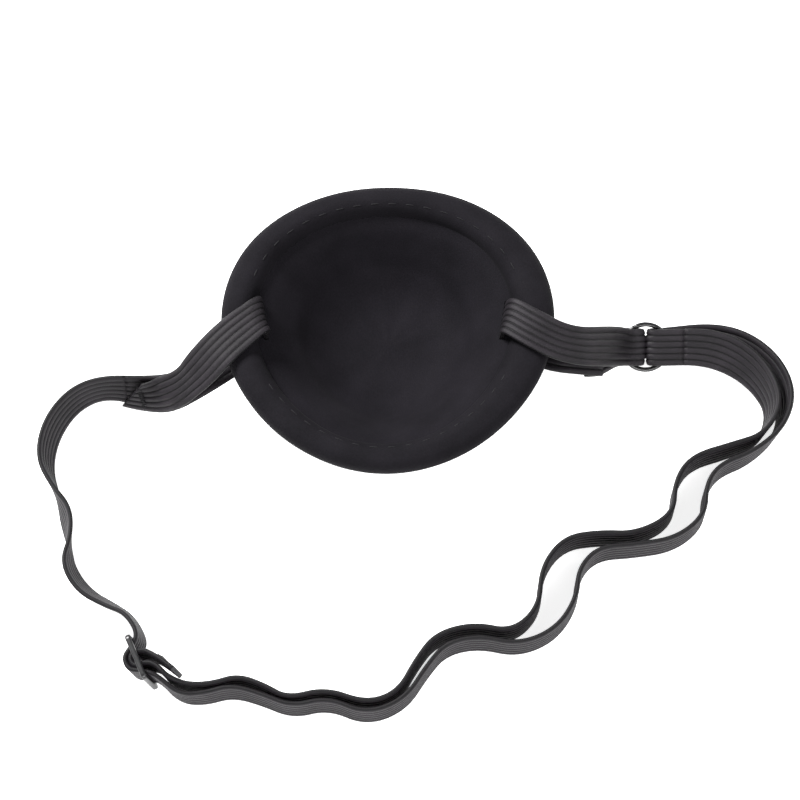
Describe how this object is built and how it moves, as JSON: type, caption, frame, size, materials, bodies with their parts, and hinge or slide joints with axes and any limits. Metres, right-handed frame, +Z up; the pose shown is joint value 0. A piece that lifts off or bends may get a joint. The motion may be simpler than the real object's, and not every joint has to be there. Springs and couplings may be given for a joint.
{
  "type": "eye patch",
  "caption": "Soft moulded concave eye patch with a padded rim, threaded on a thin elastic head strap with a round ring and an adjusting slide.",
  "frame": {"origin": "on the surface that the patch lies on, under the middle of the patch's outline", "axes": "+Z up, out of the hollow side; +X across the patch towards the strap's ring; -Y towards the laid-out strap"},
  "size_m": [0.1865, 0.1321, 0.0256],
  "materials": {
    "lining_fabric": "soft matt black knit, the face that is turned to the eye",
    "foam": "black open-cell foam, hidden between the lining and the cover",
    "cover_fabric": "matt black knit bonded to foam, the face that is turned away from the eye",
    "rim_fabric": "soft matt black knit over a foam roll",
    "thread": "black polyester sewing thread, slightly glossy",
    "elastic": "black woven elastic with fine lengthwise ribs",
    "slide_plastic": "black moulded nylon, semi-gloss",
    "ring_plastic": "black nylon-coated wire ring, glossy"
  },
  "bodies": {
    "patch": {"inner_lining": "lining_fabric", "foam_core": "foam", "outer_cover": "cover_fabric", "rim_padding": "foam", "rim_binding": "rim_fabric", "rim_topstitching": "thread", "left_slot_loop": "elastic", "left_bartack": "thread", "anchor_loop": "elastic", "anchor_bartack": "thread"},
    "strap": {"strap_left_run": "elastic", "strap_outer_layer": "elastic", "strap_inner_layer": "elastic"},
    "slide": {"adjuster_slide": "slide_plastic", "strap_slide_weave": "elastic", "strap_end_loop": "elastic", "strap_end_bartack": "thread"},
    "o_ring": {"o_ring": "ring_plastic"}
  },
  "joints": [
    {"name": "strap_swing", "type": "hinge", "parent": "patch", "child": "strap", "pos_m": [0, -0.004, 0.02], "axis": [-1, 0, 0], "range_deg": [0, 90], "deforming": ["left_slot_loop", "anchor_loop"]},
    {"name": "slide_travel", "type": "slide", "parent": "strap", "child": "slide", "axis": [0.4004, -0.9164, 0], "range_m": [-0.003, 0.003], "deforming": ["strap_slide_weave", "strap_end_loop"]},
    {"name": "o_ring_spin", "type": "hinge", "parent": "strap", "child": "o_ring", "pos_m": [0.0644, 0.0016, 0.0047], "axis": [0, -0.5, 0.866], "continuous": true}
  ]
}
